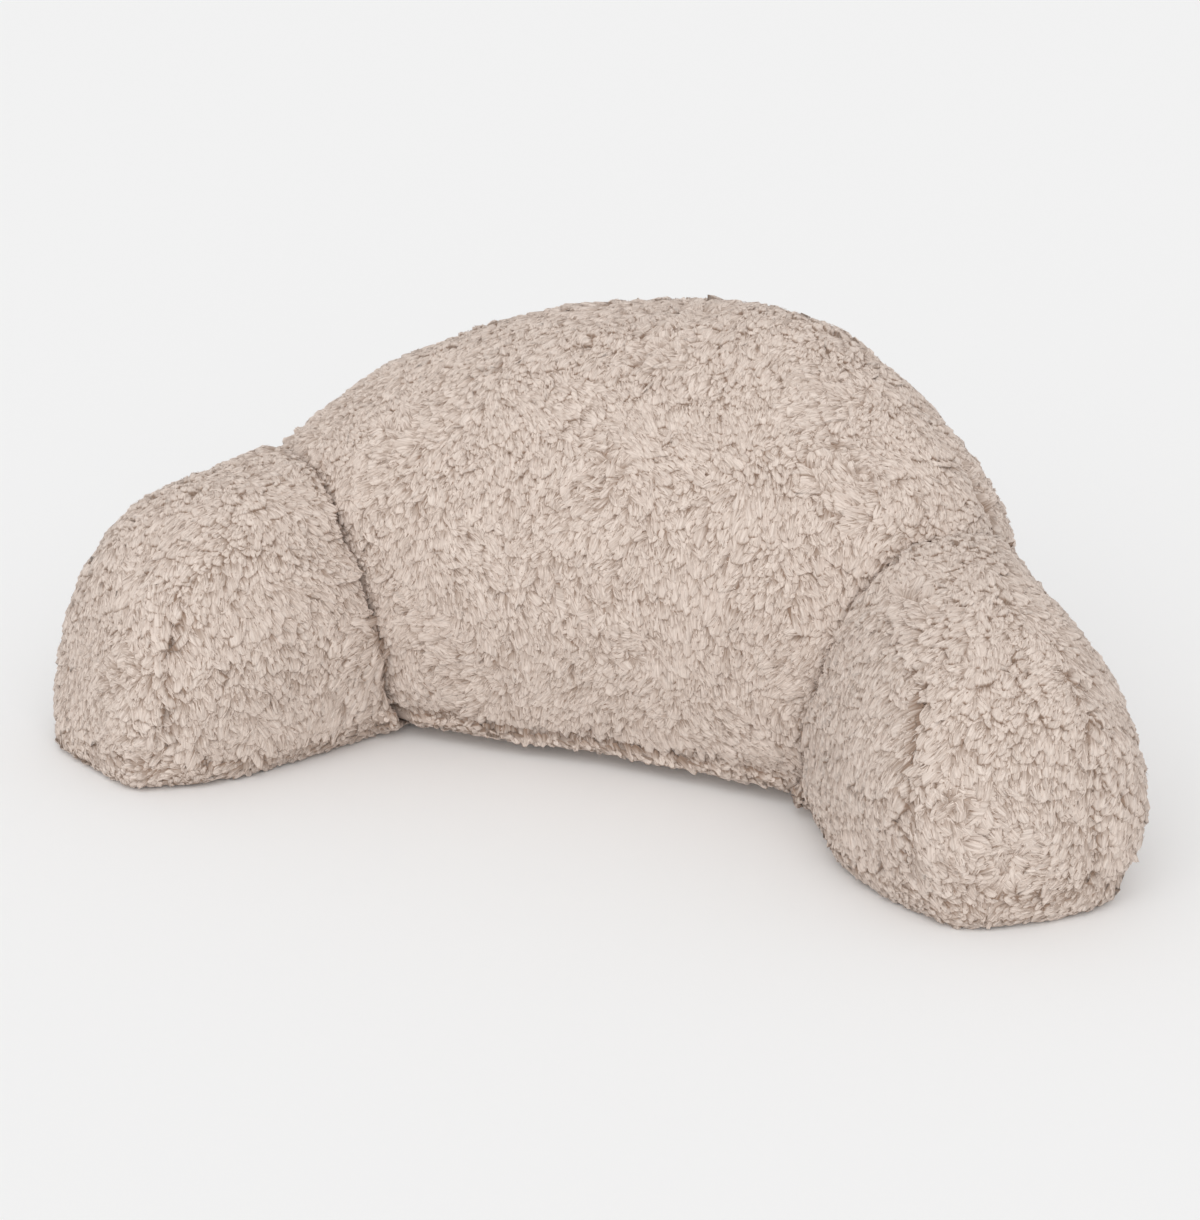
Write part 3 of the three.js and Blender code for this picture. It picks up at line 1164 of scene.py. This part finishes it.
class CUSHION_OT_pile(bpy.types.Operator):
    """Lays the pile on every cover"""

    bl_idname = "cushion.pile"
    bl_label = "Lay Pile"

    def execute(self, context):
        pile = context.scene.cushion_pile
        covers = {name: bpy.data.objects[name + "_cover"] for name in (BACK, *ARMS)}
        trees = {name: tree_of(obj.data) for name, obj in covers.items()}
        for number, (name, cover) in enumerate(covers.items()):
            rng = np.random.default_rng((pile.seed, number))
            others = [tree for other, tree in trees.items() if other != name]
            locks = lay_locks(name, cover, others, rng, pile)
            place = locks["place"]
            if name == BACK:
                rear = place[:, 1] > np.interp(place[:, 2], RIM_Z, RIM_Y)
                left = place[:, 0] < 0
                for face, on_face in (("front", ~rear), ("rear", rear)):
                    for side, on_side in (("left", left), ("right", ~left)):
                        part = take(locks, on_face & on_side)
                        pile_piece(f"back_pile_{face}_{side}", part, rng, pile)
            else:
                pile_piece(name + "_pile", locks, rng, pile)
        return {"FINISHED"}


class CUSHION_OT_stage(bpy.types.Operator):
    """Sets the floor, the light and the camera"""

    bl_idname = "cushion.stage"
    bl_label = "Set Stage"

    def execute(self, context):
        stage = context.scene.cushion_stage
        set_floor(stage)
        set_light(stage)
        set_camera(stage)
        return {"FINISHED"}


def set_floor(stage):
    mesh = bpy.data.meshes.new("floor")
    corners = [(x * FLOOR_HALF, y * FLOOR_HALF, 0) for x, y in ((-1, -1), (1, -1), (1, 1), (-1, 1))]
    mesh.from_pydata(corners, [], [(0, 1, 2, 3)])
    material = bpy.data.materials.new("floor")
    material.use_nodes = True
    shader = material.node_tree.nodes["Principled BSDF"]
    shader.inputs["Base Color"].default_value = (*stage.floor_colour, 1)
    shader.inputs["Roughness"].default_value = FLOOR_ROUGHNESS
    shader.inputs["Specular IOR Level"].default_value = FLOOR_SPECULAR
    floor = make_piece("floor", mesh, material)


def towards(azimuth, elevation):
    """The direction to something at that azimuth, to the right of the front, and that elevation."""
    level = math.cos(elevation)
    return Vector((math.sin(azimuth) * level, -math.cos(azimuth) * level, math.sin(elevation)))


def set_light(stage):
    scene = bpy.context.scene
    world = bpy.data.worlds.new("studio")
    world.use_nodes = True
    sky = world.node_tree.nodes["Background"]
    sky.inputs["Color"].default_value = (1, 1, 1, 1)
    sky.inputs["Strength"].default_value = stage.fill_light
    scene.world = world
    lamp = bpy.data.lights.new("key", "SUN")
    lamp.energy = stage.key_light
    lamp.angle = stage.key_angle
    key = bpy.data.objects.new("key", lamp)
    key.rotation_mode = "QUATERNION"
    key.rotation_quaternion = towards(stage.key_azimuth, stage.key_elevation).to_track_quat("Z", "Y")
    scene.collection.objects.link(key)
    scene.view_settings.view_transform = "Standard"


def set_camera(stage):
    scene = bpy.context.scene
    back = towards(stage.azimuth, stage.elevation)
    lens = bpy.data.cameras.new("camera")
    lens.sensor_width = SENSOR_MM
    lens.lens = stage.focal_px * SENSOR_MM / IMAGE_LONG_PX
    camera = bpy.data.objects.new("camera", lens)
    camera.location = Vector(stage.target) + back * stage.distance
    camera.rotation_mode = "QUATERNION"
    camera.rotation_quaternion = (-back).to_track_quat("-Z", "Y")
    scene.collection.objects.link(camera)
    scene.camera = camera


class CUSHION_PT_panel(bpy.types.Panel):
    """The cushion's steps in the sidebar"""

    bl_idname = "CUSHION_PT_panel"
    bl_label = "Backrest Cushion"
    bl_space_type = "VIEW_3D"
    bl_region_type = "UI"
    bl_category = "Cushion"

    def draw(self, context):
        for operator in OPERATORS:
            self.layout.operator(operator.bl_idname)


GROUPS = {
    "cushion_covers": CushionCovers,
    "cushion_pile": CushionPile,
    "cushion_stage": CushionStage,
}
OPERATORS = (CUSHION_OT_back, CUSHION_OT_arms, CUSHION_OT_pile, CUSHION_OT_stage)


def register():
    for cls in (*GROUPS.values(), *OPERATORS, CUSHION_PT_panel):
        bpy.utils.register_class(cls)
    for name, cls in GROUPS.items():
        setattr(bpy.types.Scene, name, bpy.props.PointerProperty(type=cls))


def unregister():
    for name in GROUPS:
        delattr(bpy.types.Scene, name)
    for cls in reversed((*GROUPS.values(), *OPERATORS, CUSHION_PT_panel)):
        bpy.utils.unregister_class(cls)


def main():
    register()
    bpy.ops.cushion.back()
    bpy.ops.cushion.arms()
    bpy.ops.cushion.pile()
    bpy.ops.cushion.stage()


if __name__ == "__main__":
    main()
